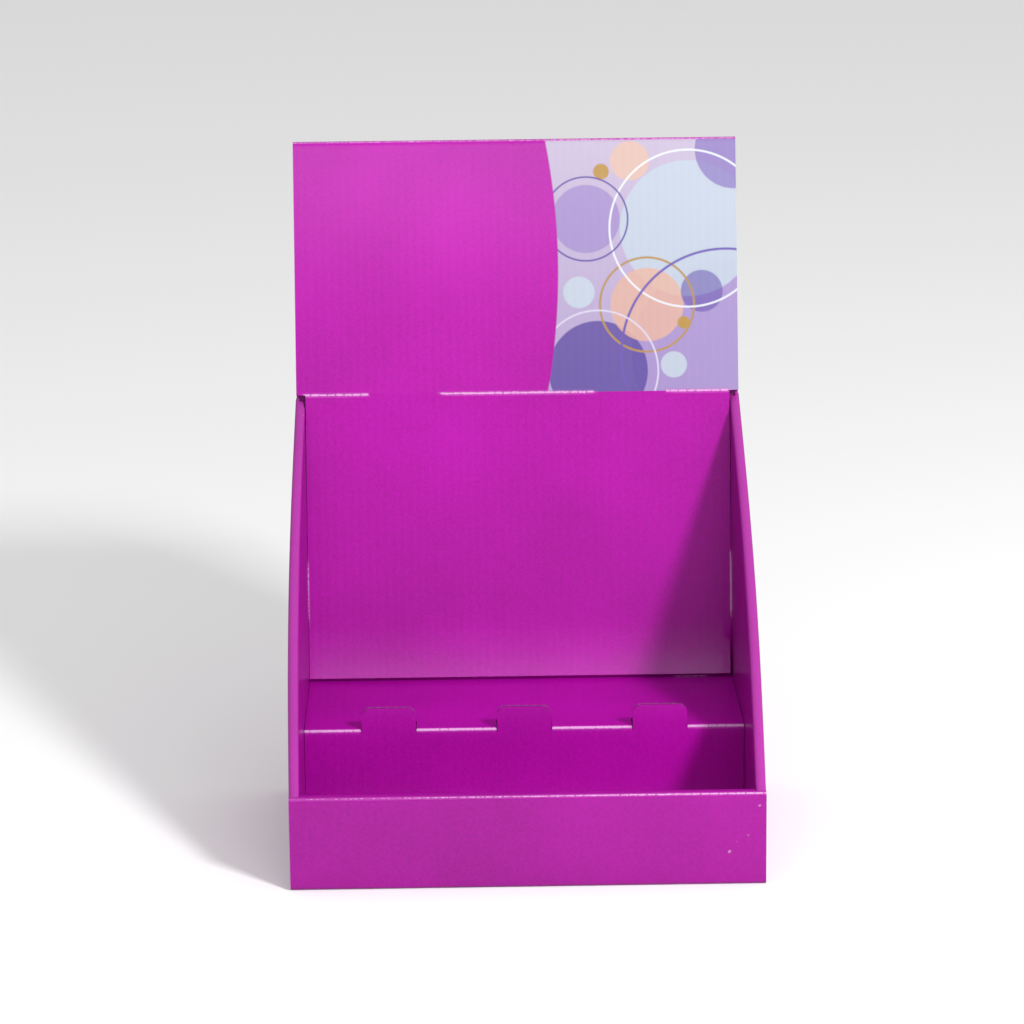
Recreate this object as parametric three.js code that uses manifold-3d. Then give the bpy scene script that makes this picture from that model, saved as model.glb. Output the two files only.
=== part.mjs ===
// Counter display box, folded from two die-cut sheets of printed E-flute board.
// The tray has a low front lip and two high side walls, all folded double, and a leaning rear wall.
// The header liner is one sheet: a double header, a leaning back, a step and its riser.
// Units are millimetres, +Z up, the front faces -Y, and the box stands on Z = 0.

import * as THREE from 'three';
import { mergeVertices } from 'three/addons/utils/BufferGeometryUtils.js';
import Module from 'manifold-3d';

const wasm = await Module();
wasm.setup();

// Board
const boardThickness = 1.6;
const sheetGap = 0.3;         // between the two sheets, and between layers that only touch
const foldGap = 0.2;          // left inside a fold that is pressed flat

// Tray
const outerWidth = 170;
const lipHeight = 34.5;
const sideSpine = 3.8;        // flat edge of a double side wall, left to right
const wallBow = 1.4;          // how far a side wall swells outwards in the middle of its free edge
const rearFlapWidth = 30;     // glue flap of a side wall, inside the rear wall
const lipFlapLength = 28;     // flap of a side wall, inside the lip
const flapRelief = 6;         // how far the glue flap stops short of the floor and the wall's top
const rearWallInset = 0.4;    // the rear wall is this much narrower than the tray, each side
const wallTopDrop = 0.8;      // from the header's shoulder down to the side wall under it

// Header liner
const riserSetback = 58;      // lip face to riser face
const platformHeight = 42;
const platformDepth = 64;
const backLean = THREE.MathUtils.degToRad(10.5);
const headerFoldHeight = 150;
const headerLean = THREE.MathUtils.degToRad(13);
const headerHeight = 97;      // along the leaning face
const headerInset = 0.4;      // the header is this much narrower than the tray, each side
const tongueLength = 38;      // end of the header's back layer, tucked in front of the rear wall
const tongueClearance = 5;    // from the tongue to the glue flap on each side

// Stop tabs that stand up along the step's front edge, cut out of the step
const stopTab = { count: 3, pitch: 50, width: 20, height: 8, corner: 3, slit: 0.5 };

// Lock tabs: on the liner's back into the side walls, and on the inner walls into the floor
const backLock = { length: 20, fromFold: 74.5, clearance: 0.3 };
const floorLock = { length: 18, clearance: 0.3, lift: 0.2 };
const sideLockPlaces = [36, 86];    // from the lip's face
const lipLockPitch = 90;
const riserLockPitch = 80;

// Cuts that help a fold bend: their width on the printed face and their depth
const creaseCut = { width: 1.2, depth: 0.7 };
const headerBridge = { width: 28.5, centre: 42.75 };    // uncut stretches of the header's fold

// Places that follow from the sizes above
const halfWidth = outerWidth / 2;
const headerHalf = halfWidth - headerInset;
const tongueHalf = halfWidth - rearFlapWidth - tongueClearance;
const lipSpine = 3 * boardThickness + 2 * foldGap;    // the lip's two layers and the flap inside
const innerHalf = halfWidth - sideSpine;
const linerHalf = innerHalf - sheetGap;
const floorTop = boardThickness;
const riserFoot = floorTop + sheetGap;
const backFoot = new THREE.Vector2(riserSetback + platformDepth, platformHeight);
const backRise = headerFoldHeight - platformHeight;
const headerFold = new THREE.Vector2(backFoot.x + backRise * Math.tan(backLean), headerFoldHeight);
const rearInnerOffset = 2 * boardThickness + foldGap + sheetGap;
const rearOuterOffset = rearInnerOffset + boardThickness;
const wallTop = headerFoldHeight - wallTopDrop;
const over = 1;    // how far a cutter reaches past what it cuts

// Point on a plane parallel to the liner's back, the given distance behind its printed face
function behindBack(distance, z) {
  const y = backFoot.x + (z - backFoot.y) * Math.tan(backLean) + distance / Math.cos(backLean);
  return new THREE.Vector2(y, z);
}

// A three.js geometry as a solid that can be joined and cut
function solid(geometry) {
  geometry.deleteAttribute('normal');
  geometry.deleteAttribute('uv');
  const merged = mergeVertices(geometry, 1e-5);
  return new wasm.Manifold(new wasm.Mesh({
    numProp: 3,
    vertProperties: new Float32Array(merged.attributes.position.array),
    triVerts: new Uint32Array(merged.index.array),
  }));
}

function joinAll(solids) {
  return solids.reduce((whole, piece) => whole.add(piece));
}

function cutAll(body, cutters) {
  return cutters.reduce((whole, cutter) => whole.subtract(cutter), body);
}

function block(low, high) {
  const size = [0, 1, 2].map((i) => high[i] - low[i]);
  const box = new THREE.BoxGeometry(...size);
  box.translate(low[0] + size[0] / 2, low[1] + size[1] / 2, low[2] + size[2] / 2);
  return solid(box);
}

// Section of folded board, walked along its printed face, with the board on the left of the walk.
// The inside of each fold stays sharp, and the outside is an arc of one board's thickness about it.
function boardSection(face, arcSteps = 4) {
  const printed = [face[0].clone()];
  const hidden = [];
  const directions = face.slice(1).map((point, i) => point.clone().sub(face[i]).normalize());
  const normals = directions.map((d) => new THREE.Vector2(-d.y, d.x));
  hidden.push(face[0].clone().addScaledVector(normals[0], boardThickness));
  for (let i = 1; i < face.length - 1; i++) {
    const [before, after] = [normals[i - 1], normals[i]];
    const turn = Math.atan2(before.cross(after), before.dot(after));
    const mitre = before.clone().add(after).multiplyScalar(boardThickness / (1 + before.dot(after)));
    const inside = turn > 0 ? face[i].clone().add(mitre) : face[i].clone();
    const steps = Math.abs(turn) < 0.1 ? 1 : arcSteps;
    for (let k = 0; k <= steps; k++) {
      const spoke = before.clone().rotateAround(new THREE.Vector2(), (turn * k) / steps);
      const reach = turn > 0 ? -boardThickness : boardThickness;
      (turn > 0 ? printed : hidden).push(inside.clone().addScaledVector(spoke, reach));
    }
    (turn > 0 ? hidden : printed).push(inside);
  }
  const last = face.length - 1;
  printed.push(face[last].clone());
  hidden.push(face[last].clone().addScaledVector(normals[last - 1], boardThickness));
  return printed.concat(hidden.reverse());
}

// A section drawn in Y and Z, run along X from one place to another
function runAcross(section, fromX, toX) {
  const shape = new THREE.Shape(section);
  const geometry = new THREE.ExtrudeGeometry(shape, { depth: toX - fromX, bevelEnabled: false });
  const toYZX = new THREE.Matrix4().makeBasis(
    new THREE.Vector3(0, 1, 0), new THREE.Vector3(0, 0, 1), new THREE.Vector3(1, 0, 0));
  geometry.applyMatrix4(toYZX);
  geometry.translate(fromX, 0, 0);
  return solid(geometry);
}

// A block in the frame of the liner's back: across, down the slope from the header fold, and behind
function blockOnBack(across, down, behind) {
  const size = [across[1] - across[0], behind[1] - behind[0], down[1] - down[0]];
  const box = new THREE.BoxGeometry(...size);
  box.translate(across[0] + size[0] / 2, behind[0] + size[1] / 2, -down[0] - size[2] / 2);
  box.rotateX(-backLean);
  box.translate(0, headerFold.x, headerFold.y);
  return solid(box);
}

// A closed body through rings that all have the same number of points
function loft(rings) {
  const count = rings[0].length;
  const points = rings.flat().flatMap((p) => [p.x, p.y, p.z]);
  const index = [];
  for (let r = 0; r < rings.length - 1; r++) {
    for (let i = 0; i < count; i++) {
      const [a, b] = [r * count + i, r * count + ((i + 1) % count)];
      index.push(a, a + count, b, b, a + count, b + count);
    }
  }
  const flat = rings[0].map((p) => new THREE.Vector2(p.x, p.z));
  const cap = THREE.ShapeUtils.triangulateShape(flat, []);
  const lastRing = (rings.length - 1) * count;
  for (const [a, b, c] of cap) {
    index.push(a, b, c, lastRing + a, lastRing + c, lastRing + b);
  }
  const geometry = new THREE.BufferGeometry();
  geometry.setAttribute('position', new THREE.Float32BufferAttribute(points, 3));
  geometry.setIndex(index);
  return geometry;
}

// Splits the long straight runs of a ring, so that a bowed wall can follow its curve
function splitRuns(ring, longest, parts) {
  return ring.flatMap((point, i) => {
    const next = ring[(i + 1) % ring.length];
    const pieces = point.distanceTo(next) > longest ? parts : 1;
    return Array.from({ length: pieces }, (_, k) => point.clone().lerp(next, k / pieces));
  });
}

// Double side wall on the right: up from the floor fold, over the sloping spine, down inside.
// Stations run from the lip's corner to the rear wall along the slope of the free edge.
function sideWall() {
  const stations = 12;
  const rowsPerRun = 6;
  const longRun = lipHeight / 2;
  const bite = boardThickness / 4;    // how far the wall's rear edge runs into the rear wall
  const rearFoot = behindBack(rearInnerOffset + bite, 0).x;
  const rearTop = behindBack(rearInnerOffset + bite, wallTop).x;
  const slope = Math.atan2(wallTop - lipHeight, rearTop);
  const rings = [];
  for (let s = 0; s <= stations; s++) {
    const u = s / stations;
    const top = THREE.MathUtils.lerp(lipHeight, wallTop, u);
    const face = [
      new THREE.Vector2(halfWidth - 2 * boardThickness, 0),
      new THREE.Vector2(halfWidth, 0),
      new THREE.Vector2(halfWidth, top),
      new THREE.Vector2(innerHalf, top),
      new THREE.Vector2(innerHalf, riserFoot),
    ];
    const ring = splitRuns(boardSection(face), longRun, rowsPerRun).map((p) => {
      const drop = top - p.y;
      const z = drop <= boardThickness + 1e-6 ? top - drop / Math.cos(slope) : p.y;
      const v = z / top;
      const y = THREE.MathUtils.lerp(u * rearFoot, u * rearTop, v);
      const swell = wallBow * Math.sin(Math.PI * u) * Math.sin((Math.PI / 2) * v);
      return new THREE.Vector3(p.x + swell, y, z);
    });
    rings.push(ring);
  }
  const wall = solid(loft(rings));
  const insideLip = block(
    [0, -over, -over],
    [halfWidth - boardThickness, lipSpine + sheetGap, lipHeight - boardThickness - sheetGap]);
  const flapFront = rearInnerOffset - boardThickness - sheetGap;
  const behindLiner = blockOnBack(
    [0, halfWidth - boardThickness],
    [-headerFoldHeight, 2 * headerFoldHeight],
    [flapFront, flapFront + lipHeight]);
  return cutAll(wall, [insideLip, behindLiner]);
}

// Glue flap at the wall's rear end, flat against the inside of the rear wall
function rearFlap() {
  const slopeLength = wallTop / Math.cos(backLean);
  return blockOnBack(
    [halfWidth - rearFlapWidth, halfWidth - boardThickness / 2],
    [flapRelief, slopeLength - flapRelief],
    [rearInnerOffset - boardThickness, rearInnerOffset]);
}

// Flap at the wall's front end, tucked between the two layers of the lip
function lipFlap() {
  return block(
    [halfWidth - lipFlapLength, boardThickness + foldGap, 2 * floorTop],
    [halfWidth - boardThickness / 2, 2 * boardThickness + foldGap, lipHeight - 2 * boardThickness]);
}

// Slots in the floor, and the tabs of the inner walls that stand in them
function floorLocks(places) {
  const { length, clearance, lift } = floorLock;
  const [thin, long] = [boardThickness / 2, length / 2];
  const boxes = places.map(({ x, y, alongY }) => ({ x, y, half: alongY ? [thin, long] : [long, thin] }));
  const slots = boxes.map(({ x, y, half }) => block(
    [x - half[0] - clearance, y - half[1] - clearance, -over],
    [x + half[0] + clearance, y + half[1] + clearance, floorTop + over]));
  const tabs = boxes.map(({ x, y, half }) => block(
    [x - half[0], y - half[1], lift], [x + half[0], y + half[1], 3 * floorTop]));
  return { slots, tabs };
}

const floorDepth = behindBack(rearOuterOffset, 0).x;
const sideLocks = floorLocks([-1, 1].flatMap((side) => sideLockPlaces.map((y) => (
  { x: side * (innerHalf + boardThickness / 2), y, alongY: true }))));
const lipLocks = floorLocks([-0.5, 0.5].map((step) => (
  { x: step * lipLockPitch, y: lipSpine - boardThickness / 2, alongY: false })));
const riserLocks = floorLocks([-0.5, 0.5].map((step) => (
  { x: step * riserLockPitch, y: riserSetback + boardThickness / 2, alongY: false })));

// Slot in an inner side wall for the lock tab of the liner's back, or the tab itself
function backLockBox(outTo, extra) {
  const { length, fromFold } = backLock;
  return blockOnBack(
    [linerHalf - over, outTo],
    [fromFold - length / 2 - extra, fromFold + length / 2 + extra],
    [-extra, boardThickness + extra]);
}

function bothSides(right) {
  return [right, right.mirror([1, 0, 0])];
}

function makeTray() {
  const frame = [
    new THREE.Vector2(lipSpine, riserFoot),
    new THREE.Vector2(lipSpine, lipHeight),
    new THREE.Vector2(0, lipHeight),
    new THREE.Vector2(0, 0),
    new THREE.Vector2(floorDepth, 0),
    behindBack(rearOuterOffset, wallTop),
  ];
  const trough = runAcross(boardSection(frame), -linerHalf, linerHalf);
  const floorFace = [
    new THREE.Vector2(0, lipHeight - boardThickness),
    new THREE.Vector2(0, 0),
    new THREE.Vector2(floorDepth, 0),
    behindBack(rearOuterOffset, wallTop),
  ];
  const floorHalf = halfWidth - boardThickness;
  const floor = runAcross(boardSection(floorFace), -floorHalf, floorHalf);
  const lipFace = block(
    [-halfWidth, 0, floorTop], [halfWidth, boardThickness, lipHeight - boardThickness]);
  const rearFace = [
    behindBack(rearOuterOffset, floorTop), behindBack(rearOuterOffset, wallTop)];
  const rearHalf = halfWidth - rearWallInset;
  const rear = runAcross(boardSection(rearFace), -rearHalf, rearHalf);
  const lockSlot = backLockBox(halfWidth - boardThickness, backLock.clearance);
  const walls = [sideWall().subtract(lockSlot), rearFlap(), lipFlap()].flatMap(bothSides);
  const whole = joinAll([trough, floor, lipFace, rear, ...walls]);
  const slots = [...sideLocks.slots, ...lipLocks.slots, ...riserLocks.slots];
  return joinAll([cutAll(whole, slots), ...sideLocks.tabs, ...lipLocks.tabs]);
}

// Printed face of the liner from the riser's foot to the end of the header's back layer
function linerFace() {
  const thickness = 2 * boardThickness + foldGap;
  const up = new THREE.Vector2(Math.sin(headerLean), Math.cos(headerLean));
  const back = new THREE.Vector2(up.y, -up.x);
  const headerTop = headerFold.clone().addScaledVector(up, headerHeight);
  const halfTurn = (headerLean - backLean) / 2;
  const rearFoldDown = thickness * Math.tan(halfTurn);
  const rearTop = headerTop.clone().addScaledVector(back, thickness);
  const rearFold = rearTop.clone().addScaledVector(up, -headerHeight - rearFoldDown);
  const tongueEnd = new THREE.Vector2(
    rearFold.x - tongueLength * Math.sin(backLean), rearFold.y - tongueLength * Math.cos(backLean));
  return [
    new THREE.Vector2(riserSetback, riserFoot),
    new THREE.Vector2(riserSetback, platformHeight),
    backFoot, headerFold, headerTop, rearTop, rearFold, tongueEnd,
  ];
}

// The board lies on the right of the walk up the riser and along the step, so the section is mirrored
function linerSection() {
  const mirrored = linerFace().map((p) => new THREE.Vector2(-p.x, p.y));
  return boardSection(mirrored).map((p) => new THREE.Vector2(-p.x, p.y)).reverse();
}

function stopTabCentres() {
  const { count, pitch } = stopTab;
  return Array.from({ length: count }, (_, i) => (i - (count - 1) / 2) * pitch);
}

// The opening that a stop tab leaves in the step, with the slit around it
function stopTabOpening(x) {
  const { width, height, slit } = stopTab;
  return block(
    [x - width / 2 - slit, riserSetback - over, platformHeight - 2 * boardThickness],
    [x + width / 2 + slit, riserSetback + boardThickness + height + slit, platformHeight + over]);
}

function makeStopTab(x) {
  const { width, height, corner } = stopTab;
  const half = width / 2;
  const foot = platformHeight - 3 * boardThickness;
  const top = platformHeight + height;
  const shape = new THREE.Shape();
  shape.moveTo(-half, foot).lineTo(half, foot).lineTo(half, top - corner);
  shape.absarc(half - corner, top - corner, corner, 0, Math.PI / 2, false);
  shape.lineTo(corner - half, top);
  shape.absarc(corner - half, top - corner, corner, Math.PI / 2, Math.PI, false);
  shape.closePath();
  const options = { depth: boardThickness, bevelEnabled: false, curveSegments: 5 };
  const geometry = new THREE.ExtrudeGeometry(shape, options);
  geometry.rotateX(Math.PI / 2);
  geometry.translate(x, riserSetback + boardThickness, 0);
  return solid(geometry);
}

// Groove of a crease cut across one stretch of a fold, square to the line that halves the fold
function creaseGroove(fromX, toX, place, tilt) {
  const groove = new THREE.BoxGeometry(toX - fromX, 2 * creaseCut.depth, creaseCut.width);
  groove.rotateX(tilt);
  groove.translate((fromX + toX) / 2, place.x, place.y);
  return solid(groove);
}

function headerGrooves() {
  const { width, centre } = headerBridge;
  const inner = centre - width / 2;
  const outer = centre + width / 2;
  const stretches = [[-linerHalf, -outer], [-inner, inner], [outer, linerHalf]];
  return stretches.map(([from, to]) => creaseGroove(from, to, headerFold, -backLean));
}

// Along the step's front edge the cut stretches lie between the stop tabs
function riserGrooves() {
  const half = stopTab.width / 2 + stopTab.slit;
  const edges = [-linerHalf, ...stopTabCentres().flatMap((x) => [x - half, x + half]), linerHalf];
  const cornerIn = boardThickness * (1 - Math.SQRT1_2);
  const place = new THREE.Vector2(riserSetback + cornerIn, platformHeight - cornerIn);
  const grooves = [];
  for (let i = 0; i < edges.length; i += 2) {
    grooves.push(creaseGroove(edges[i] + over, edges[i + 1] - over, place, -Math.PI / 4));
  }
  return grooves;
}

function makeHeaderLiner() {
  const sheet = runAcross(linerSection(), -headerHalf, headerHalf);
  const farBehind = floorDepth + 2 * headerHeight;
  const shoulder = block(
    [linerHalf, -over, -over], [headerHalf + over, farBehind, headerFoldHeight]);
  const besideTongue = blockOnBack(
    [tongueHalf, headerHalf + over], [0, 2 * tongueLength],
    [boardThickness + foldGap / 2, rearOuterOffset]);
  const cuts = [shoulder, besideTongue].flatMap(bothSides);
  const openings = stopTabCentres().map(stopTabOpening);
  const cutSheet = cutAll(sheet, [...cuts, ...openings, ...headerGrooves(), ...riserGrooves()]);
  const tabs = stopTabCentres().map(makeStopTab);
  const locks = bothSides(backLockBox(halfWidth - boardThickness - 2 * sheetGap, 0));
  return joinAll([cutSheet, ...tabs, ...locks, ...riserLocks.tabs]);
}

// A finished solid as a mesh
function sheetMesh(name, body, colour) {
  const { numProp, vertProperties, triVerts } = body.getMesh();
  const positions = new Float32Array((vertProperties.length / numProp) * 3);
  for (let i = 0; i < positions.length / 3; i++) {
    positions.set(vertProperties.subarray(i * numProp, i * numProp + 3), i * 3);
  }
  const geometry = new THREE.BufferGeometry();
  geometry.setAttribute('position', new THREE.BufferAttribute(positions, 3));
  geometry.setIndex(new THREE.BufferAttribute(new Uint32Array(triVerts), 1));
  geometry.computeVertexNormals();
  const material = new THREE.MeshStandardMaterial({ color: colour, roughness: 0.38, metalness: 0 });
  const mesh = new THREE.Mesh(geometry, material);
  mesh.name = name;
  return mesh;
}

const tray = makeTray();
const headerLiner = makeHeaderLiner();

// The whole box is centred front to back on Y = 0
const rearmost = Math.max(tray.boundingBox().max[1], headerLiner.boundingBox().max[1]);
const toCentre = [0, -rearmost / 2, 0];

const displayBox = new THREE.Group();
displayBox.name = 'counter_display_box';
displayBox.add(sheetMesh('display_tray', tray.translate(toCentre), 0xb4249f));
displayBox.add(sheetMesh('header_liner', headerLiner.translate(toCentre), 0xc02cae));

export default displayBox;
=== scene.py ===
import math

import bmesh
import bpy
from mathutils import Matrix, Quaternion, Vector


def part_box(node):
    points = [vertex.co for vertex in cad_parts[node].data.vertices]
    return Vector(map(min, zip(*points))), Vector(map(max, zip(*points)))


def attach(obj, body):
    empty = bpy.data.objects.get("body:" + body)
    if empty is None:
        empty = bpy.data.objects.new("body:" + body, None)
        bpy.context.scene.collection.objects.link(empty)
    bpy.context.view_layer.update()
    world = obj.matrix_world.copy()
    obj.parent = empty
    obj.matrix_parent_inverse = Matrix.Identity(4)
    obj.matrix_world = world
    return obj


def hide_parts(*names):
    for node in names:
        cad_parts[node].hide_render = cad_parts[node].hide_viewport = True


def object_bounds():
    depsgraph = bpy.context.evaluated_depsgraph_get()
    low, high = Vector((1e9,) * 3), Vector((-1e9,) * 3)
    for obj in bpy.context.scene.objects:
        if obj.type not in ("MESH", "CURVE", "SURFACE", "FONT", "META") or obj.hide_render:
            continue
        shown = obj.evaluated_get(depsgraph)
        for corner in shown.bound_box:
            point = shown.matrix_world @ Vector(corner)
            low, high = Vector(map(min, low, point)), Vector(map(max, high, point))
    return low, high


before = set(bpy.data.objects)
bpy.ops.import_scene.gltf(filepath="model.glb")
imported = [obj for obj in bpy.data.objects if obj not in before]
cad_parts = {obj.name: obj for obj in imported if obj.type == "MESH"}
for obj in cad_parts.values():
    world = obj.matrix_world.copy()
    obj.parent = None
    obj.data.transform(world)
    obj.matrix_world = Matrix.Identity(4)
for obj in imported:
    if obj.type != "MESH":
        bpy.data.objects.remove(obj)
cadLow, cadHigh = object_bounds()
print("frame loaded:", ", ".join(sorted(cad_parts)))

scene = bpy.context.scene
scene.view_settings.view_transform = "Standard"    # the print's own colours, with no film curve
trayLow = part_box("display_tray")[0]
linerLow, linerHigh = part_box("header_liner")
lipFace = trayLow.y    # the lip's printed face, which every depth below is measured from


# Camera, as the photo was taken: a long lens, a little from above

camera = {
    "lens": 141.5,
    "sensor": 36.0,
    "clip": (0.05, 40.0),                # m
    "distance": 1466.5,                  # mm, from the target
    "target": (-3.7, 60.0, 123.4),       # mm, with depth from the lip's face
    "down": 14.0,                        # degrees
    "yaw": 0.775,
    "roll": 0.6,
}


def makeCamera(spec):
    data = bpy.data.cameras.new("photoCamera")
    data.lens, data.sensor_width = spec["lens"], spec["sensor"]
    data.clip_start, data.clip_end = spec["clip"]
    view = bpy.data.objects.new("photoCamera", data)
    scene.collection.objects.link(view)
    down, yaw = math.radians(spec["down"]), math.radians(spec["yaw"])
    forward = Vector((
        math.sin(yaw) * math.cos(down), math.cos(yaw) * math.cos(down), -math.sin(down)))
    x, depth, z = (value / 1000 for value in spec["target"])
    view.location = Vector((x, lipFace + depth, z)) - forward * spec["distance"] / 1000
    turn = Quaternion((0, 0, 1), math.radians(-spec["roll"]))
    view.rotation_mode = "QUATERNION"
    view.rotation_quaternion = forward.to_track_quat("-Z", "Y") @ turn
    scene.camera = view


makeCamera(camera)
print("camera set")


# Node and colour helpers

def linear(code):
    parts = [int(code[i:i + 2], 16) / 255 for i in (1, 3, 5)]
    return [c / 12.92 if c <= 0.04045 else ((c + 0.055) / 1.055) ** 2.4 for c in parts] + [1.0]


def add(tree, kind, inputs=None, **settings):
    made = tree.nodes.new("ShaderNode" + kind)
    for name, value in settings.items():
        setattr(made, name, value)
    for key, value in (inputs or {}).items():
        if isinstance(value, bpy.types.Node):
            value = value.outputs[0]
        if isinstance(value, bpy.types.NodeSocket):
            tree.links.new(value, made.inputs[key])
        else:
            made.inputs[key].default_value = value
    return made


def calc(tree, operation, *values):
    return add(tree, "Math", dict(enumerate(values)), operation=operation)


def ramp(tree, value, start, end, low=0.0, high=1.0):    # low at the start, high at the end
    return add(tree, "MapRange", {
        "Value": value, "From Min": start, "From Max": end, "To Min": low, "To Max": high})


def mix(tree, share, below, above):
    return add(tree, "Mix", {0: share, 6: below, 7: above}, data_type="RGBA").outputs[2]


def noise(tree, place, scale, detail, roughness=0.5):
    return add(tree, "TexNoise", {
        "Vector": place, "Scale": scale, "Detail": detail, "Roughness": roughness})


def distance(tree, place, point):
    return add(tree, "VectorMath", {0: place, 1: point}, operation="DISTANCE").outputs[1]


def newMaterial(name):
    material = bpy.data.materials.new(name)
    material.use_nodes = True
    material.node_tree.nodes.clear()
    return material, material.node_tree


# Floor and lights: a pale studio floor, one soft key from the right and a strip above the front

stage = {
    "floorColour": "#EEEEEE",
    "floorSize": 30.0,                   # m
    "floorRoughness": 0.9,
    "floorSpecular": 0.1,
    "worldColour": "#FFFFFF",
    "worldLow": 0.32,                    # strength at the horizon and overhead
    "worldHigh": 1.0,
    "lights": {                          # power, size in m, distance, degrees to the right and up
        "softKey": (30.0, (0.26, 0.26), 1.8, 37.5, 32.0),
        "frontStrip": (2.8, (1.05, 0.24), 1.4, 0.0, 25.0),
    },
}


def makeAreaLight(name, power, size, away, toRight, up, aim):
    data = bpy.data.lights.new(name, "AREA")
    data.energy = power
    data.shape = "RECTANGLE"
    data.size, data.size_y = size
    lamp = bpy.data.objects.new(name, data)
    scene.collection.objects.link(lamp)
    side, rise = math.radians(toRight), math.radians(up)
    direction = Vector((
        math.sin(side) * math.cos(rise), -math.cos(side) * math.cos(rise), math.sin(rise)))
    lamp.location = aim + direction * away
    lamp.rotation_mode = "QUATERNION"
    lamp.rotation_quaternion = direction.to_track_quat("Z", "Y")


def makeStage(spec):
    bm = bmesh.new()
    bmesh.ops.create_grid(bm, x_segments=1, y_segments=1, size=spec["floorSize"] / 2)
    mesh = bpy.data.meshes.new("studioFloor")
    bm.to_mesh(mesh)
    bm.free()
    floor = bpy.data.objects.new("studioFloor", mesh)
    scene.collection.objects.link(floor)
    material, tree = newMaterial("paleFloorPaint")    # matt seamless floor
    shader = add(tree, "BsdfPrincipled", {
        "Base Color": linear(spec["floorColour"]), "Roughness": spec["floorRoughness"],
        "Specular IOR Level": spec["floorSpecular"]})
    add(tree, "OutputMaterial", {"Surface": shader})
    mesh.materials.append(material)

    world = bpy.data.worlds.new("studioLight")
    scene.world = world
    world.use_nodes = True
    sky = world.node_tree
    sky.nodes.clear()
    direction = add(sky, "TexCoord").outputs["Generated"]
    rise = add(sky, "SeparateXYZ", {0: direction}).outputs[2]
    strength = ramp(sky, rise, 0.0, 1.0, spec["worldLow"], spec["worldHigh"])
    light = add(sky, "Background", {"Color": linear(spec["worldColour"]), "Strength": strength})
    add(sky, "OutputWorld", {"Surface": light})

    middle = (cadLow + cadHigh) / 2
    for name, (power, size, away, toRight, up) in spec["lights"].items():
        makeAreaLight(name, power, size, away, toRight, up, middle)


makeStage(stage)
print("floor and lights set")


# Board: E-flute, a white liner outside, printed and coated; lengths in millimetres

board = {
    "thickness": 1.6,
    "flutePitch": 3.2,
    "foldRadius": 1.6,       # printed side outside
    "creaseRadius": 0.5,     # printed side inside
    "foldSegments": 6,
    "column": 2.6,           # spacing of the mesh across the flutes
    "row": 4.0,              # and along them
    "smoothAngle": 32.0,
}
near = 0.05                  # what lies closer to a place than this counts as on it
printSlot, insideSlot, edgeSlot, artSlot = 0, 1, 2, 3    # the art's own inside and edge follow it


def spaced(start, end, step, stops):
    places = sorted({start, end, *(s for s in stops if start < s < end)})
    out = [places[0]]
    for a, b in zip(places, places[1:]):
        parts = max(1, round((b - a) / step))
        out += [a + (b - a) * k / parts for k in range(1, parts + 1)]
    return out


def walk(corners, step, stops):    # points along a folded path, in depth and height
    points = [Vector(corners[0])]
    for i, (a, b) in enumerate(zip(corners, corners[1:])):
        a, b = Vector(a), Vector(b)
        length = (b - a).length
        places = spaced(0, length, step, stops.get(i, ()))
        points += [a.lerp(b, place / length) for place in places[1:]]
    return points


def extrude(bm, edges, offset):    # one row of faces from the edges, and returns its far edges
    grown = bmesh.ops.extrude_edge_only(bm, edges=edges)["geom"]
    moved = {g for g in grown if isinstance(g, bmesh.types.BMVert)}
    bmesh.ops.translate(bm, vec=offset, verts=list(moved))
    return [
        g for g in grown if isinstance(g, bmesh.types.BMEdge) and all(v in moved for v in g.verts)]


def makeRun(corners, columns, step, stops):    # a folded path, run across the box
    bm = bmesh.new()
    points = walk(corners, step, stops)
    verts = [bm.verts.new((columns[0], p.x, p.y)) for p in points]
    edges = [bm.edges.new(pair) for pair in zip(verts, verts[1:])]
    for a, b in zip(columns, columns[1:]):
        edges = extrude(bm, edges, (b - a, 0, 0))
    return bm


def faceOut(bm, place, direction):    # turns the whole sheet so that its face there looks that way
    bm.faces.ensure_lookup_table()
    bm.normal_update()
    nearest = min(bm.faces, key=lambda f: (f.calc_center_median() - Vector(place)).length)
    if nearest.normal.dot(Vector(direction)) < 0:
        bmesh.ops.reverse_faces(bm, faces=bm.faces[:])


def bevel(bm, geom, offset, segments, affect="EDGES"):
    bmesh.ops.bevel(
        bm, geom=geom, offset=offset, offset_type="OFFSET", segments=segments, profile=0.5,
        affect=affect, clamp_overlap=False, material=-1)


def roundFold(bm, depth, height, turn, radius):    # rounds the fold that runs across at that place
    def onFold(v):
        return abs(v.co.y - depth) < near and abs(v.co.z - height) < near

    edges = [e for e in bm.edges if all(onFold(v) for v in e.verts)]
    bevel(bm, edges, radius * math.tan(math.radians(turn) / 2), board["foldSegments"])


def cutAway(bm, inside):    # removes the faces whose middle lies inside
    gone = [f for f in bm.faces if inside(f.calc_center_median())]
    bmesh.ops.delete(bm, geom=gone, context="FACES")


def cutLine(bm, point, normal, inside):    # a straight cut line through some of the faces
    faces = [f for f in bm.faces if inside(f.calc_center_median())]
    geom = {g for f in faces for g in (f, *f.edges, *f.verts)}
    bmesh.ops.bisect_plane(bm, geom=list(geom), plane_co=point, plane_no=normal, dist=0.001)


def growEdges(bm, chosen, offset, steps=1):    # extrudes the free edges that are chosen
    edges = [e for e in bm.edges if e.is_boundary and chosen((e.verts[0].co + e.verts[1].co) / 2)]
    for _ in range(steps):
        edges = extrude(bm, edges, Vector(offset) / steps)


def within(value, low, high):
    return low < value < high


# Sizes that both sheets share, in millimetres, with depth from the lip's face

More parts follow.
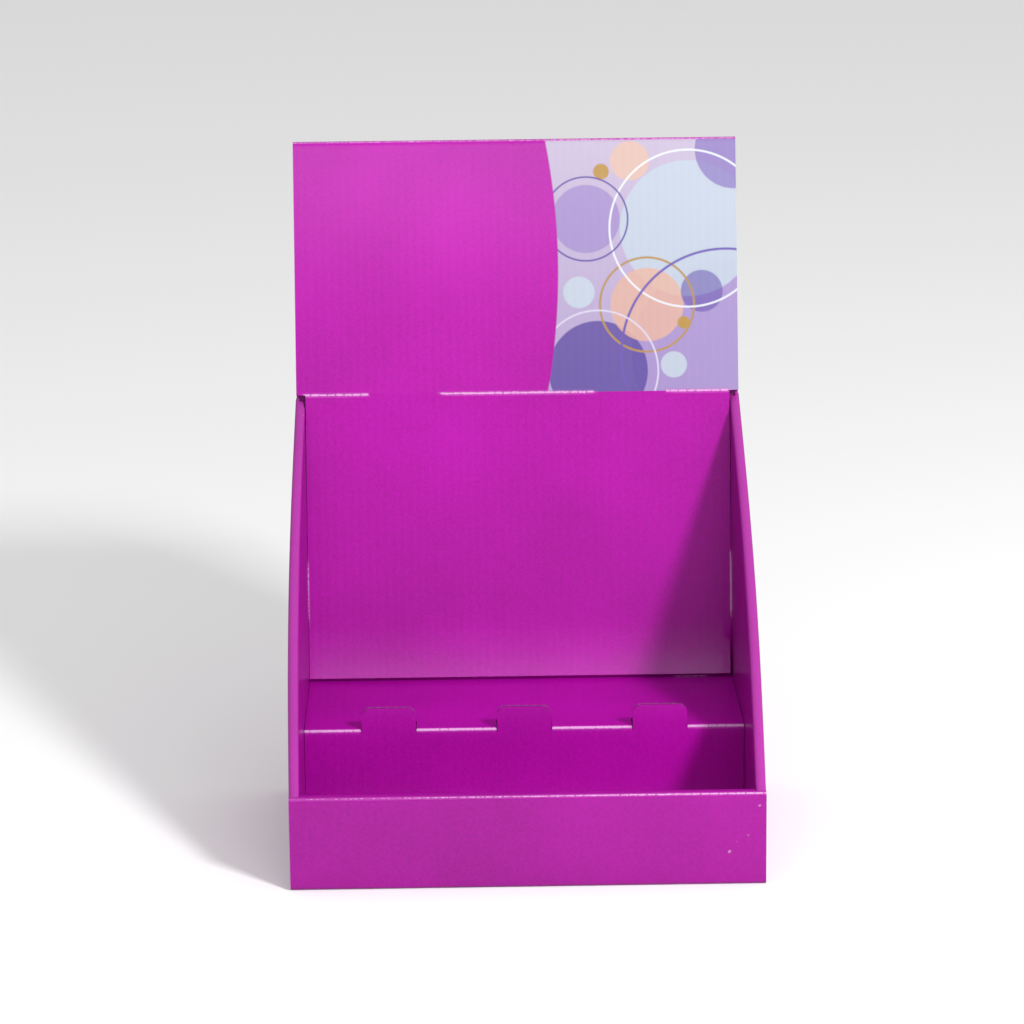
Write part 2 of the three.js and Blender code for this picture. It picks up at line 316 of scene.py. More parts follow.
shape = {
    "halfWidth": 85.0,
    "headerHalf": linerHigh.x * 1000,
    "sideSpine": 3.8,
    "sheetGap": 0.3,
    "edgeGap": 0.12,           # between the liner's edges and the walls
    "foldGap": 0.2,
    "lipHeight": 34.5,
    "riserSetback": (linerLow.y - lipFace) * 1000,
    "platformHeight": 42.0,
    "platformDepth": 64.0,
    "backLean": 10.5,
    "headerFoldHeight": 150.0,
    "headerLean": 13.0,
    "headerHeight": 96.9,
    "wallTopDrop": 0.8,
    "lockFromFold": 74.5,
    "lockLength": 20.0,
    "lockEnd": 0.2,            # how far the lock tabs end above the floor's underside
    "shadeFrom": 78.5,         # from here outwards, bare board under the shoulders takes the print's colour as painted shade
    "shadeRise": 9.0,
}
thick = board["thickness"]
lean = math.radians(shape["backLean"])
innerHalf = shape["halfWidth"] - shape["sideSpine"]
linerHalf = innerHalf - shape["edgeGap"]
lipSpine = 3 * thick + 2 * shape["foldGap"]
riserFoot = thick + shape["sheetGap"]
wallTop = shape["headerFoldHeight"] - shape["wallTopDrop"]
backFootDepth = shape["riserSetback"] + shape["platformDepth"]
rearInner = 2 * thick + shape["foldGap"] + shape["sheetGap"]
rearOuter = rearInner + thick
turnIn = board["foldRadius"] * (1 - math.sqrt(0.5))         # a rounded fold's middle, in its corner
outOfBack = Vector((0, math.cos(lean), -math.sin(lean)))    # from the back's print to its rear
downBack = Vector((0, -math.sin(lean), -math.cos(lean)))


def behindBack(gap, height):    # depth of a plane behind the liner's back, at a height
    rise = height - shape["platformHeight"]
    return backFootDepth + rise * math.tan(lean) + gap / math.cos(lean)


headerFold = Vector((0, behindBack(0, shape["headerFoldHeight"]), shape["headerFoldHeight"]))


def onBack(co):    # distance down the back from the header's fold, and distance behind its print
    away = co - headerFold
    return away.dot(downBack), away.dot(outOfBack)


# The sheets' finishing: thickness, then the attributes that the materials read

def addSheet(bm, name, node, materials):
    bmesh.ops.scale(bm, vec=(0.001, 0.001, 0.001), verts=bm.verts)
    bmesh.ops.translate(bm, vec=(0, lipFace, 0), verts=bm.verts)
    mesh = bpy.data.meshes.new(name + "Face")
    bm.to_mesh(mesh)
    printedPoints = len(bm.verts)    # Solidify puts the inside's points after these
    bm.free()
    sheet = bpy.data.objects.new(name, mesh)
    scene.collection.objects.link(sheet)
    wall = sheet.modifiers.new("boardThickness", "SOLIDIFY")
    wall.thickness, wall.offset = thick / 1000, -1
    wall.use_even_offset, wall.use_quality_normals = True, True
    wall.material_offset, wall.material_offset_rim = insideSlot, edgeSlot
    for material in materials:
        mesh.materials.append(material)
    seen = sheet.evaluated_get(bpy.context.evaluated_depsgraph_get())
    solid = bpy.data.meshes.new_from_object(seen)
    sheet.modifiers.clear()
    sheet.data = solid
    depth = solid.attributes.new("boardDepth", "FLOAT", "POINT")    # 0 on the print, 1 inside
    inside = [float(i >= printedPoints) for i in range(len(solid.vertices))]
    depth.data.foreach_set("value", inside)
    solid.shade_smooth()
    solid.set_sharp_from_angle(angle=math.radians(board["smoothAngle"]))
    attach(sheet, "root")
    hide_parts(node)
    return sheet


def shadeEdgesWithPrint(sheet, start):    # painted shade: the bare ends of the walls, under the shoulders, take the print's colour
    bare = (insideSlot, edgeSlot, artSlot + edgeSlot)
    for face in sheet.data.polygons:
        away, height = abs(face.center.x) * 1000, face.center.z * 1000
        if away > shape["shadeFrom"] and within(height, start, start + shape["shadeRise"]):
            if face.material_index in bare:
                face.material_index = printSlot


def setCracks(bm, reach, folds):    # how far the print is broken open along the folds
    layer = bm.verts.layers.float.new("crackAndSpineHighlight")
    for v in bm.verts:
        best = 0.0
        along = (v.co.x / shape["halfWidth"] + 1) / 2
        for place, (left, right), stretches in folds:
            if any(within(v.co.x, a - near, b + near) for a, b in stretches):
                away = (v.co.yz - place).length
                best = max(best, (left + (right - left) * along) * (1 - away / reach))
        v[layer] = best


def setAcross(bm, axis):    # place across the flutes, in metres
    layer = bm.verts.layers.float.new("acrossFlutes")
    for v in bm.verts:
        v[layer] = v.co[axis] / 1000


# Tray: lip, floor and rear wall in one run, with a double wall hinged on each side of the floor

tray = {
    "wallBow": 1.4,
    "bowFade": 4,              # how fast the inner layer's bow fades towards the floor
    "rearFlapWidth": 30.0,
    "lipFlapLength": 28.0,
    "flapRelief": 6.0,
    "rearHalf": 84.6,
    "lipGap": 0.02,            # between the lip's outer layer and the walls' front edges
    "floorFold": 2.0,          # from the wall's print to where its sheet joins the floor
    "wallColumns": 44,
    "wallRows": 13,
    "slotLength": 18.0,
    "slotClearance": 0.3,
    "sideLockPlaces": (36.0, 86.0),
    "lipLockX": 45.0,
    "riserLockX": 40.0,
    "innerReach": 2.0,         # the inner layer and its bow are looked for this far out
    "frontPart": 12.0,         # depth and height that the cuts for lip, back and locks keep to
    "rearPart": 90.0,
    "lowPart": 16.0,
    # painted highlight on the spines: a pale line along the inner fold, and paler upward faces
    "spineLineHighlight": 0.42,
    "spineLine": (0.72, 0.25),    # painted highlight along the inner fold: how far the pale line has turned inwards, and its width
    "spineTopHighlight": 0.25,
    "spineUp": 0.25,           # what faces upwards more than this is painted paler, as painted highlight
    "crackReach": 0.7,
    "lipCrack": (0.52, 1.0),   # left and right
    "shadeBelow": 7.0,         # from the walls' top, where the painted shade under the shoulders starts
}


def makeTrayRun(spec):
    half, height, radius = shape["halfWidth"], shape["lipHeight"], board["foldRadius"]
    floorDepth = behindBack(rearOuter, 0)
    gap = spec["slotClearance"]
    tab = spec["slotLength"] / 2
    slot = tab + gap
    riser = shape["riserSetback"]
    floorHalf = half - spec["floorFold"]
    stops = {half, floorHalf, spec["rearHalf"], linerHalf}
    for x in (spec["lipLockX"], spec["riserLockX"]):
        stops |= {x - slot, x + slot, x - tab, x + tab}
    stops |= {innerHalf - gap, innerHalf + thick + gap}
    stops |= {-s for s in stops}
    columns = spaced(-half, half, board["column"], stops)
    floorStops = [lipSpine - thick - gap, lipSpine + gap, riser - gap, riser + thick + gap]
    for place in spec["sideLockPlaces"]:
        floorStops += [place - slot, place + slot]
    corners = [
        (lipSpine, riserFoot), (lipSpine, height), (0, height), (0, 0), (floorDepth, 0),
        (behindBack(rearOuter, wallTop), wallTop)]
    bm = makeRun(corners, columns, board["row"], {3: floorStops})
    faceOut(bm, (0, 0, height / 2), (0, -1, 0))
    for depth, z, turn in (
            (lipSpine, height, 90), (0, height, 90), (0, 0, 90),
            (floorDepth, 0, 90 - shape["backLean"])):
        roundFold(bm, depth, z, turn, radius)

    # The lip's inner layer and the rear wall stop short of the side walls' layers
    cutAway(bm, lambda c: abs(c.x) > linerHalf and within(c.y, radius, spec["frontPart"])
            and c.z > radius)
    cutAway(bm, lambda c: abs(c.x) > floorHalf and c.z < radius and c.y > radius)
    cutAway(bm, lambda c: abs(c.x) > spec["rearHalf"] and c.y > spec["frontPart"])

    # Lock slots in the floor, and the lip's own lock tabs
    for x in (-spec["lipLockX"], spec["lipLockX"]):
        cutAway(bm, lambda c: within(c.x, x - slot, x + slot) and c.z < near
                and within(c.y, lipSpine - thick - gap, lipSpine + gap))
        growEdges(bm, lambda c: within(c.x, x - tab, x + tab) and abs(c.z - riserFoot) < near
                  and abs(c.y - lipSpine) < near, (0, 0, shape["lockEnd"] - riserFoot))
    for x in (-spec["riserLockX"], spec["riserLockX"]):
        cutAway(bm, lambda c: within(c.x, x - slot, x + slot) and c.z < near
                and within(c.y, riser - gap, riser + thick + gap))
    for place in spec["sideLockPlaces"]:
        cutAway(bm, lambda c: c.z < near and within(c.y, place - slot, place + slot)
                and within(abs(c.x), innerHalf - gap, innerHalf + thick + gap))
    setAcross(bm, 0)
    lipTurn = Vector((turnIn, height - turnIn))
    setCracks(bm, spec["crackReach"], [(lipTurn, spec["lipCrack"], [(-half, half)])])
    return bm


def wallSheet(spec, front):    # the right wall: floor fold, outer layer, spine, inner layer
    half, lipHeight = shape["halfWidth"], shape["lipHeight"]
    rows = [(half - spec["floorFold"], 0), (half, 0)]
    rows += [(half, k / spec["wallRows"]) for k in range(1, spec["wallRows"] + 1)]
    rows += [(innerHalf, k / spec["wallRows"]) for k in range(spec["wallRows"], -1, -1)]
    bm = bmesh.new()
    bmesh.ops.create_grid(bm, x_segments=spec["wallColumns"], y_segments=len(rows) - 1, size=1)
    foot, topDepth = behindBack(rearInner, 0), behindBack(rearInner, wallTop)
    outerRow = spec["wallRows"] + 1
    rowOf = {}
    for v in bm.verts:
        u = (v.co.x + 1) / 2
        row = round((v.co.y + 1) / 2 * (len(rows) - 1))
        rowOf[v] = row
        x, share = rows[row]
        top = lipHeight + (wallTop - lipHeight) * u
        z = share * top
        if row > outerRow:
            z = max(z, riserFoot)
        share = z / top
        depth = front + u * (foot + (topDepth - foot) * share - front)
        swell = spec["wallBow"] * math.sin(math.pi * u) * math.sin(math.pi / 2 * share)
        if row > outerRow:
            swell *= share ** spec["bowFade"]    # the liner holds the inner layer in
        v.co = (x + swell, depth, z)
    foldEdges = []
    for row in (1, outerRow, outerRow + 1):
        foldEdges += [e for e in bm.edges if all(rowOf[v] == row for v in e.verts)]
    faceOut(bm, (half, backFootDepth / 2, lipHeight), (1, 0, 0))
    bevel(bm, foldEdges, board["foldRadius"], board["foldSegments"])
    return bm


def makeWall(spec):
    half, gap = shape["halfWidth"], spec["slotClearance"]
    front = thick + spec["lipGap"]
    bm = wallSheet(spec, front)

    # The inner layer stops behind the lip
    lipTop = shape["lipHeight"] - thick
    behindLip = lipSpine + shape["sheetGap"]

    def inward(c):    # the inner layer, and what of the spine and of the floor fold is beside it
        return c.x < half - thick
    cutLine(bm, (0, 0, lipTop), (0, 0, 1), lambda c: inward(c) and c.y < spec["frontPart"])
    cutLine(bm, (0, behindLip, 0), (0, 1, 0), lambda c: inward(c) and c.y < spec["frontPart"])
    cutAway(bm, lambda c: inward(c) and c.y < behindLip and c.z < lipTop)

    # It also stops behind the liner's back, with a slot for the back's lock tab
    reach = thick + shape["foldGap"]
    rear = headerFold + outOfBack * reach
    cutLine(bm, rear, outOfBack, lambda c: inward(c) and c.y > spec["rearPart"])
    cutAway(bm, lambda c: inward(c) and onBack(c)[1] > reach)
    innerOut = innerHalf + spec["innerReach"]
    lockHalf = shape["lockLength"] / 2 + gap
    slotLines = [
        (headerFold + downBack * (shape["lockFromFold"] - lockHalf), downBack),
        (headerFold + downBack * (shape["lockFromFold"] + lockHalf), downBack),
        (headerFold - outOfBack * gap, outOfBack)]
    for point, normal in slotLines:
        cutLine(bm, point, normal, lambda c: c.x < innerOut and c.y > spec["rearPart"])
    cutAway(bm, lambda c: c.x < innerOut and onBack(c)[1] > -gap
            and abs(onBack(c)[0] - shape["lockFromFold"]) < lockHalf)

    # Lock tabs into the floor, glue flap inside the rear wall, flap inside the lip
    footOut = innerHalf + spec["innerReach"] / 2
    tab = spec["slotLength"] / 2
    for place in spec["sideLockPlaces"]:
        for y in (place - tab, place + tab):
            cutLine(bm, (0, y, 0), (0, 1, 0), lambda c: c.x < footOut and c.z < spec["lowPart"])
        growEdges(bm, lambda c: c.x < footOut and c.z < riserFoot + near
                  and within(c.y, place - tab, place + tab), (0, 0, shape["lockEnd"] - riserFoot))
    relief = spec["flapRelief"]
    growEdges(bm, lambda c: c.x > half - near and onBack(c)[1] > rearInner - near
              and within(c.z, relief, wallTop - relief), (thick - spec["rearFlapWidth"], 0, 0),
              steps=4)
    growEdges(bm, lambda c: c.x > half - near and c.y < front + near
              and within(c.z, 2 * thick, lipTop), (thick - spec["lipFlapLength"], 0, 0), steps=2)
    setAcross(bm, 2)
    layer = bm.verts.layers.float.new("crackAndSpineHighlight")
    bm.normal_update()
    turned, width = spec["spineLine"]
    for v in bm.verts:    # painted highlight: the spine's upward faces are paler, with a thin pale line along its inner edge
        if v.co.x > innerHalf - near and v.co.z > shape["lipHeight"] / 2:
            line = spec["spineLineHighlight"] * max(0.0, 1 - abs(v.normal.x + turned) / width)
            v[layer] = max(line, spec["spineTopHighlight"] if v.normal.z > spec["spineUp"] else 0.0)
    return bm


def makeTray(spec, materials):
    bm = makeTrayRun(spec)
    for side in (1, -1):
        wall = makeWall(spec)
        if side < 0:
            bmesh.ops.scale(wall, vec=(-1, 1, 1), verts=wall.verts)
            bmesh.ops.reverse_faces(wall, faces=wall.faces[:])
        mesh = bpy.data.meshes.new("wall")
        wall.to_mesh(mesh)
        wall.free()
        bm.from_mesh(mesh)
        bpy.data.meshes.remove(mesh)
    sheet = addSheet(bm, "displayTraySheet", "display_tray", materials)
    shadeEdgesWithPrint(sheet, wallTop - spec["shadeBelow"])


# Liner: riser, step with its stop tabs, leaning back, double header and its tongue

liner = {
    "stopTabs": (-50.0, 0.0, 50.0),
    "tabHalf": 10.0,
    "tabHeight": 8.0,
    "tabCorner": 3.0,
    "cornerMargin": 0.5,           # from a rounded corner to the next column of the mesh
    "cornerSegments": 5,
    "slit": 0.25,
    "tongueHalf": 50.0,
    "tongueLength": 38.0,
    "bridges": (-42.75, 42.75),    # uncut stretches of the header's fold
    "bridgeHalf": 14.25,
    "grooveHalf": 0.6,
    "grooveDepth": 0.25,
    "kick": 2.6,                   # how far the back's foot is pushed forwards by its fold
    "kickHeight": 20.0,
    "kickStart": 1.2,              # height over the fold where the push has its full share
    "kickCurve": 1.3,
    "kickRows": (*range(3, 16, 2), 17.5),    # heights of the mesh's rows along that curve
    "creaseTop": 0.3,              # what lies lower or further behind is the crease, not the back
    "creaseDepth": 0.4,
    "artDepth": 0.3,               # how far the art runs back over the top fold
    "crackReach": 0.85,
    "riserCrack": (1.25, 1.25),    # left and right
    "headerCrack": (0.95, 1.05),
    "topCrack": (0.66, 0.72),
    "footCrack": (0.85, 0.85),
    "footStretch": (60.0, 71.0),
    "slotWear": (0.62, 1.8),       # white board at the lock slots, left and right
    "slotWearWidth": 0.7,
    "shadeBelow": 2.0,             # from the header's fold, where the painted shade under the shoulders starts
}


def makeLiner(spec, materials):
    riser, step = shape["riserSetback"], shape["platformHeight"]
    headerAngle = math.radians(shape["headerLean"])
    up = Vector((math.sin(headerAngle), math.cos(headerAngle)))
    away = Vector((up.y, -up.x))
    fold = headerFold.yz
    double = 2 * thick + shape["foldGap"]
    headerTop = fold + up * shape["headerHeight"]
    rearTop = headerTop + away * double
    rearFoldDown = double * math.tan((headerAngle - lean) / 2)
    rearFold = rearTop - up * (shape["headerHeight"] + rearFoldDown)
    tongueEnd = rearFold + downBack.yz * spec["tongueLength"]
    corners = [
        (riser, riserFoot), (riser, step), (backFootDepth, step), fold, headerTop, rearTop,
        rearFold, tongueEnd]
    half = shape["headerHalf"]
    slitOut = spec["tabHalf"] + spec["slit"]
    bridges = [x + side * spec["bridgeHalf"] for x in spec["bridges"] for side in (-1, 1)]
    lockOut = shape["halfWidth"] - thick - 2 * shape["sheetGap"]
    stops = {lockOut, linerHalf, linerHalf - spec["slotWearWidth"], spec["tongueHalf"]}
    tab = tray["slotLength"] / 2
    stops |= {tray["riserLockX"] - tab, tray["riserLockX"] + tab}
    stops |= {-s for s in stops}
    for x in spec["stopTabs"]:
        flatHalf = spec["tabHalf"] - spec["tabCorner"] - spec["cornerMargin"]
        for reach in (flatHalf, spec["tabHalf"], slitOut):
            stops |= {x - reach, x + reach}
    stops |= set(bridges)
    columns = spaced(-half, half, board["column"], stops)
    opening = thick + spec["tabHeight"] + spec["slit"]
    backLength = (fold - Vector((backFootDepth, step))).length
    lockMiddle, lockHalf = backLength - shape["lockFromFold"], shape["lockLength"] / 2
    groove = spec["grooveHalf"]
    backStops = [
        lockMiddle - lockHalf, lockMiddle + lockHalf, spec["kickStart"], *spec["kickRows"],
        spec["kickHeight"], backLength - 2 * groove, backLength - groove]
    bm = makeRun(
        corners, columns, board["row"], {1: [opening], 2: backStops, 3: [groove, 2 * groove]})
    faceOut(bm, (0, riser, step / 2), (0, -1, 0))

    # The header is wider than the back below it, which keeps a lock tab on each side
    def besideBack(c):
        down, behind = onBack(c)
        return abs(c.x) > linerHalf and down > near and behind < thick

    def isLock(c):
        down, behind = onBack(c)
        return (abs(down - shape["lockFromFold"]) < lockHalf
                and abs(c.x) < lockOut and behind < thick / 2)
    cutAway(bm, lambda c: besideBack(c) and not isLock(c))
    cutAway(bm, lambda c: abs(c.x) > spec["tongueHalf"] and c.y > fold.x and c.z < rearFold.y)

    for place, turn, radius in (
            ((riser, step), 90, board["foldRadius"]),
            ((backFootDepth, step), 90 - shape["backLean"], board["creaseRadius"]),
            (headerTop, 90, board["foldRadius"]),
            (rearTop, 90, board["foldRadius"])):
        roundFold(bm, *place, turn, radius)

    # Stop tabs: cut out of the step, and standing up in the plane of the riser
    foldStart = step - board["foldRadius"]
    tabTop = step + spec["tabHeight"]

    def onRiser(co, height):
        return abs(co.z - height) < near and abs(co.y - riser) < near
    for x in spec["stopTabs"]:
        cutAway(bm, lambda c: within(c.x, x - slitOut, x + slitOut) and c.z > foldStart
                and within(c.y, riser - near, riser + opening))
        growEdges(bm, lambda c: within(c.x, x - spec["tabHalf"], x + spec["tabHalf"])
                  and onRiser(c, foldStart), (0, 0, tabTop - foldStart), steps=2)
        tips = [
            v for v in bm.verts
            if onRiser(v.co, tabTop) and abs(abs(v.co.x - x) - spec["tabHalf"]) < near]
        bevel(bm, tips, spec["tabCorner"], spec["cornerSegments"], "VERTICES")
    for x in (-tray["riserLockX"], tray["riserLockX"]):
        growEdges(bm, lambda c: within(c.x, x - tab, x + tab) and onRiser(c, riserFoot),
                  (0, 0, shape["lockEnd"] - riserFoot))

    # The back's foot curves forwards over its fold
    for v in bm.verts:
        down, behind = onBack(v.co)
        foot = backLength - down
        onFoot = within(foot, spec["creaseTop"], spec["kickHeight"])
        if onFoot and abs(behind) < spec["creaseDepth"] and abs(v.co.x) <= linerHalf:
            share = (1 - foot / spec["kickHeight"]) ** spec["kickCurve"]
            v.co -= outOfBack * spec["kick"] * share * min(1, foot / spec["kickStart"])

    # The header's fold is cut in stretches, and the print is broken along the folds
    cuts = [(-linerHalf, bridges[0]), (bridges[1], bridges[2]), (bridges[3], linerHalf)]
    tabEdges = [x + side * slitOut for x in spec["stopTabs"] for side in (-1, 1)]
    ends = [-linerHalf, *tabEdges, linerHalf]
    setAcross(bm, 0)
    setCracks(bm, spec["crackReach"], [
        (Vector((riser + turnIn, step - turnIn)), spec["riserCrack"], [*zip(ends[::2], ends[1::2])]),
        (fold, spec["headerCrack"], cuts),
        (headerTop + (away - up) * turnIn, spec["topCrack"], [(-half, half)]),
        (Vector((backFootDepth, step)), spec["footCrack"], [spec["footStretch"]])])
    layer = bm.verts.layers.float["crackAndSpineHighlight"]
    for v in bm.verts:
        down, behind = onBack(v.co)
        if abs(down) < near and abs(behind) < near:
            if any(within(v.co.x, a + near, b - near) for a, b in cuts):
                v.co += outOfBack * spec["grooveDepth"]
        beside = abs(abs(v.co.x) - linerHalf) < near and abs(behind) < near
        if beside and abs(down - shape["lockFromFold"]) < lockHalf + near:
            v[layer] = spec["slotWear"][v.co.x > 0]
    for f in bm.faces:    # the header's front carries the art
        c = f.calc_center_median()
        if c.z > fold.y and (c.yz - fold).dot(away) < spec["artDepth"]:
            f.material_index = artSlot
    sheet = addSheet(bm, "headerLinerSheet", "header_liner", materials)
    shadeEdgesWithPrint(sheet, shape["headerFoldHeight"] - spec["shadeBelow"])


# Materials

printed = {
    "trayInkWithShade": ("#850378", "#98068A"),     # deep and light, as the mottle runs; darker than the liner's ink, as painted shade on the tray
    "linerInk": ("#920385", "#A8069B"),
    "cloud": 62.5,              # mm, size of the ink's soft clouds
    "grain": 0.9,               # mm, mottle of the print on the liner
    "mottleRange": (0.7, 1.3),
    "roughness": 0.42,
    "specular": 0.12,
    "coat": 0.3,
    "coatRoughness": 0.14,
    "fluteHeight": 0.013,       # mm, how far the flutes telegraph through
    "grainHeight": 0.009,
    "warp": (11.0, 0.12),       # mm, how far apart and how high the board's soft waves are
    "paleWearAndHighlight": "#C060B4",
    "rubAndHighlight": 0.65,                # how pale the print gets where it is rubbed along the folds, and where the spines carry painted highlight
    "fibre": "#C78FC2",
    "fibreRoughness": 0.85,
    "fibreHeight": 0.05,        # mm
    "tear": (0.52, 0.62),       # crack strengths where the print starts to open, and has opened
    "ragScale": 1100.0,         # per metre, how fine the ragged edge of broken print is
    "ragSwing": 1.1,
    "dashGap": 0.14,            # share of the pitch where a cracked fold holds together
    "hold": 0.6,
    "unevenScale": 170.0,       # per metre, how fast the hold changes along a fold
    "unevenRange": (0.35, 0.65),
    "scuffRag": 1.4,            # mm
    "scuffShare": 0.6,
}
scuffs = [(82.6, 29.4, 0.55), (78.6, 18.4, 0.4), (71.8, 12.4, 0.6), (74.5, 16.0, 0.3)]    # on the lip


def fluteWave(tree):    # -1 to 1 across each flute
    across = add(tree, "Attribute", attribute_name="acrossFlutes").outputs["Fac"]
    return calc(tree, "SINE", calc(tree, "MULTIPLY", across, math.tau * 1000 / board["flutePitch"]))


def boardShader(tree, inputs, relief, depth=1.0):    # depth in mm, of a relief of 1
    bump = add(tree, "Bump", {"Height": relief, "Distance": depth / 1000, "Strength": 1.0})
    shader = add(tree, "BsdfPrincipled", {**inputs, "Normal": bump})
    add(tree, "OutputMaterial", {"Surface": shader})


def printedCard(name, spec, inks, spots=(), paint=None):    # litho print under a gloss coat
    material, tree = newMaterial(name)
    place = add(tree, "TexCoord").outputs["Object"]
    wave = fluteWave(tree)
    cloud = noise(tree, place, 1000 / spec["cloud"], detail=3.0)
    mottle = noise(tree, place, 1000 / spec["grain"], detail=2.0, roughness=0.6)
    share = ramp(tree, calc(tree, "ADD", cloud, mottle), *spec["mottleRange"])
    deep, light = spec[inks]
    colour = mix(tree, share, linear(deep), linear(light))
    if paint:
        colour = paint(tree, place, colour)

    # Broken print along the folds: white fibres, held together between the flutes
    # this attribute holds the folds' cracks and also the spines' painted highlight
    crackAndHighlight = add(tree, "Attribute", attribute_name="crackAndSpineHighlight").outputs["Fac"]
    rag = noise(tree, place, spec["ragScale"], detail=3.0, roughness=0.7)
    ragged = calc(tree, "MULTIPLY_ADD", rag, spec["ragSwing"], -spec["ragSwing"] / 2)
    uneven = noise(tree, place, spec["unevenScale"], detail=1.0)
    hold = ramp(tree, uneven, *spec["unevenRange"], 0.0, spec["hold"])
    bridge = ramp(tree, wave, 1 - 2 * spec["dashGap"], 1.0, 0.0, hold)
    opened = calc(tree, "SUBTRACT", calc(tree, "ADD", crackAndHighlight, ragged), bridge)
    torn = ramp(tree, opened, *spec["tear"])
    for x, z, radius in spots:
        away = distance(tree, place, (x / 1000, lipFace, z / 1000))
        away = calc(tree, "MULTIPLY_ADD", ragged, spec["scuffRag"] / 1000, away)
        spot = ramp(tree, away, radius / 1000, radius / 2000, 0.0, spec["scuffShare"])
        torn = calc(tree, "MAXIMUM", torn, spot)
    # paler along the cracked folds, which is wear, and on the spines, which is painted highlight
    wearAndHighlight = ramp(tree, crackAndHighlight, 0.0, 1.0, 0.0, spec["rubAndHighlight"])
    colour = mix(tree, wearAndHighlight, colour, linear(spec["paleWearAndHighlight"]))
    colour = mix(tree, torn, colour, linear(spec["fibre"]))
    rough = ramp(tree, torn, 0.0, 1.0, spec["roughness"], spec["fibreRoughness"])

    relief = calc(tree, "MULTIPLY", wave, spec["fluteHeight"])
    relief = calc(tree, "MULTIPLY_ADD", mottle, spec["grainHeight"], relief)
    relief = calc(tree, "MULTIPLY_ADD", torn, spec["fibreHeight"], relief)
    spacing, height = spec["warp"]
    warp = noise(tree, place, 1000 / spacing, detail=2.0)
    relief = calc(tree, "MULTIPLY_ADD", warp, height, relief)
    boardShader(tree, {
        "Base Color": colour, "Roughness": rough, "Specular IOR Level": spec["specular"],
        "Coat Weight": spec["coat"], "Coat Roughness": spec["coatRoughness"]}, relief)
    return material


unprinted = {
    "liner": "#CFCBC4",
    "linerDark": "#C2BDB5",
    "roughness": 0.82,
    "specular": 0.25,
    "fluteHeight": 0.03,       # mm
    "fibreHeight": 0.03,
    "fibreScale": 700.0,       # per metre
}


def whiteLiner(spec):    # unprinted inside of the board: soft white, ribbed by the flutes
    material, tree = newMaterial("whiteTestLiner")
    place = add(tree, "TexCoord").outputs["Object"]
    fibre = noise(tree, place, spec["fibreScale"], detail=4.0)
    colour = mix(tree, fibre, linear(spec["linerDark"]), linear(spec["liner"]))
    relief = calc(tree, "MULTIPLY", fluteWave(tree), spec["fluteHeight"])
    relief = calc(tree, "MULTIPLY_ADD", fibre, spec["fibreHeight"], relief)
    boardShader(tree, {
        "Base Color": colour, "Roughness": spec["roughness"],
        "Specular IOR Level": spec["specular"]}, relief)
    return material


edge = {
    "paper": "#86607F",
    "hollowShade": "#3C1F3A",
    "ink": "#8A0A7E",
    "inkShare": 0.62,          # how far the print is dragged over the edge by the knife
    "linerShare": 0.16,
    "fluteSwing": 0.30,
    "fluteShare": 0.11,
    "soft": (0.08, 0.03, 0.04),    # blur of the ink's, the liners' and the flute's outlines
    "hollowDepth": 0.4,        # mm
    "roughness": 0.9,
    "specular": 0.15,
}


def cutEdge(spec):    # die-cut edge: two liners with the wavy flute between them, and painted shade in the hollows
    material, tree = newMaterial("cutFluteEdge")
    inkSoft, linerSoft, fluteSoft = spec["soft"]
    depth = add(tree, "Attribute", attribute_name="boardDepth").outputs["Fac"]
    centre = calc(tree, "MULTIPLY_ADD", fluteWave(tree), spec["fluteSwing"], 0.5)
    off = calc(tree, "ABSOLUTE", calc(tree, "SUBTRACT", depth, centre))
    isFlute = ramp(tree, off, spec["fluteShare"] + fluteSoft, spec["fluteShare"])
    middle = calc(tree, "ABSOLUTE", calc(tree, "SUBTRACT", depth, 0.5))
    linerStart = 0.5 - spec["linerShare"]
    isLiner = ramp(tree, middle, linerStart - linerSoft, linerStart)
    paper = calc(tree, "MAXIMUM", isFlute, isLiner)
    # the hollows between the flute and the liners get a dark colour, as painted shade
    colour = mix(tree, paper, linear(spec["hollowShade"]), linear(spec["paper"]))
    dragged = ramp(tree, depth, spec["inkShare"] + inkSoft, spec["inkShare"])
    colour = mix(tree, dragged, colour, linear(spec["ink"]))
    boardShader(tree, {
        "Base Color": colour, "Roughness": spec["roughness"],
        "Specular IOR Level": spec["specular"]}, paper, spec["hollowDepth"])
    return material


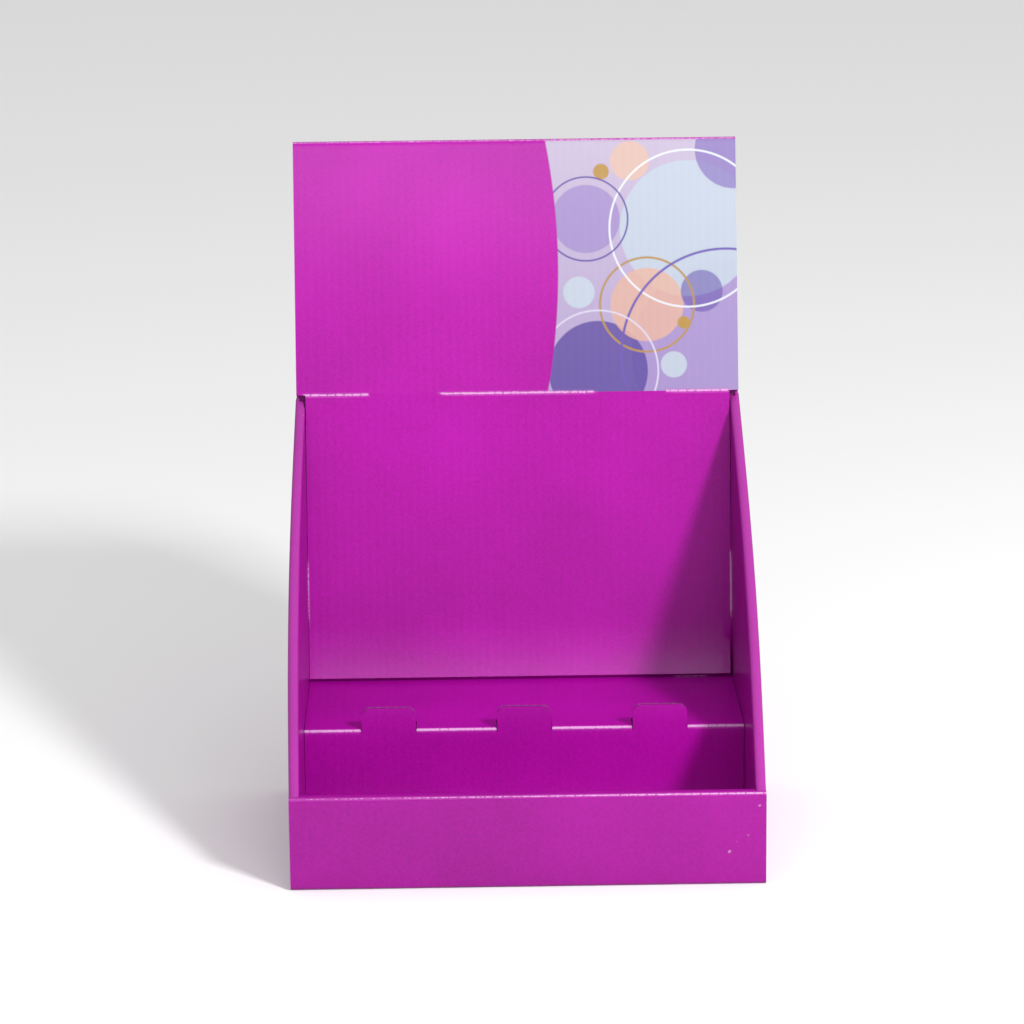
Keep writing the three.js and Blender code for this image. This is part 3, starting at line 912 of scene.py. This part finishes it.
art = {
    "arcCentre": (-243.4, 48.5),    # mm from the header's middle, and up from its fold
    "arcRadius": 259.6,
    "ground": "#A79CB1",
    "groundLow": "#9788AC",
    "edge": 0.25,                   # mm, softness of a printed edge
    "discs": [                      # across, up, radius, colour, cover
        (80, 14, 36, "#8C7AA9", 0.9), (31, 8, 19, "#493884", 0.85), (66, 62, 26, "#A2ACB8", 0.9),
        (27, 66, 13, "#8572A6", 0.8), (50, 33, 14, "#BB9484", 0.85), (84, 92, 15, "#6F5D9C", 0.8),
        (44, 88, 7.5, "#BB9D90", 0.9), (24, 38, 6, "#A5AFBA", 0.9), (71, 38, 8, "#55448E", 0.7),
        (60, 10, 5, "#A4AEB9", 0.9), (33, 84, 3, "#9D7C41", 1.0), (64, 26, 2.4, "#9D7C41", 1.0),
    ],
    "rings": [                      # across, up, radius, line, colour
        (50, 33, 18, 0.8, "#9A7A44"), (66, 62, 30, 0.7, "#C4C8D0"), (80, 14, 40, 0.9, "#5E4C95"),
        (31, 8, 23, 0.6, "#B9B4C6"), (27, 66, 16, 0.6, "#4E3D88"),
    ],
}


def paintHeader(tree, place, ink):    # generic discs and rings, to the right of a shallow arc
    flat = add(tree, "VectorMath", {
        0: place, 1: (0, 0, -shape["headerFoldHeight"] / 1000)}, operation="ADD")
    flat = add(tree, "VectorMath", {
        0: flat, 1: (1000, 0, 1000 / math.cos(math.radians(shape["headerLean"])))},
        operation="MULTIPLY")
    soft = art["edge"]
    height = add(tree, "SeparateXYZ", {0: flat}).outputs[2]
    rise = ramp(tree, height, 0.0, shape["headerHeight"])
    colour = mix(tree, rise, linear(art["groundLow"]), linear(art["ground"]))
    for across, up, radius, code, share in art["discs"]:
        away = distance(tree, flat, (across, 0, up))
        mask = ramp(tree, away, radius + soft, radius - soft, 0.0, share)
        colour = mix(tree, mask, colour, linear(code))
    for across, up, radius, line, code in art["rings"]:
        off = calc(tree, "SUBTRACT", distance(tree, flat, (across, 0, up)), radius)
        off = calc(tree, "ABSOLUTE", off)
        mask = ramp(tree, off, line / 2 + soft, line / 2 - soft)
        colour = mix(tree, mask, colour, linear(code))
    across, up = art["arcCentre"]
    away = distance(tree, flat, (across, 0, up))
    outside = ramp(tree, away, art["arcRadius"] - soft, art["arcRadius"] + soft)
    return mix(tree, outside, ink, colour)


trayPrint = printedCard("trayLithoPrint", printed, "trayInkWithShade", spots=scuffs)
linerPrint = printedCard("linerLithoPrint", printed, "linerInk")
headerPrint = printedCard("headerLithoPrint", printed, "linerInk", paint=paintHeader)
innerBoard, edgeBoard = whiteLiner(unprinted), cutEdge(edge)
print("materials made")

makeTray(tray, [trayPrint, innerBoard, edgeBoard])
print("tray folded")
makeLiner(liner, [linerPrint, innerBoard, edgeBoard, headerPrint, innerBoard, edgeBoard])
print("liner folded")
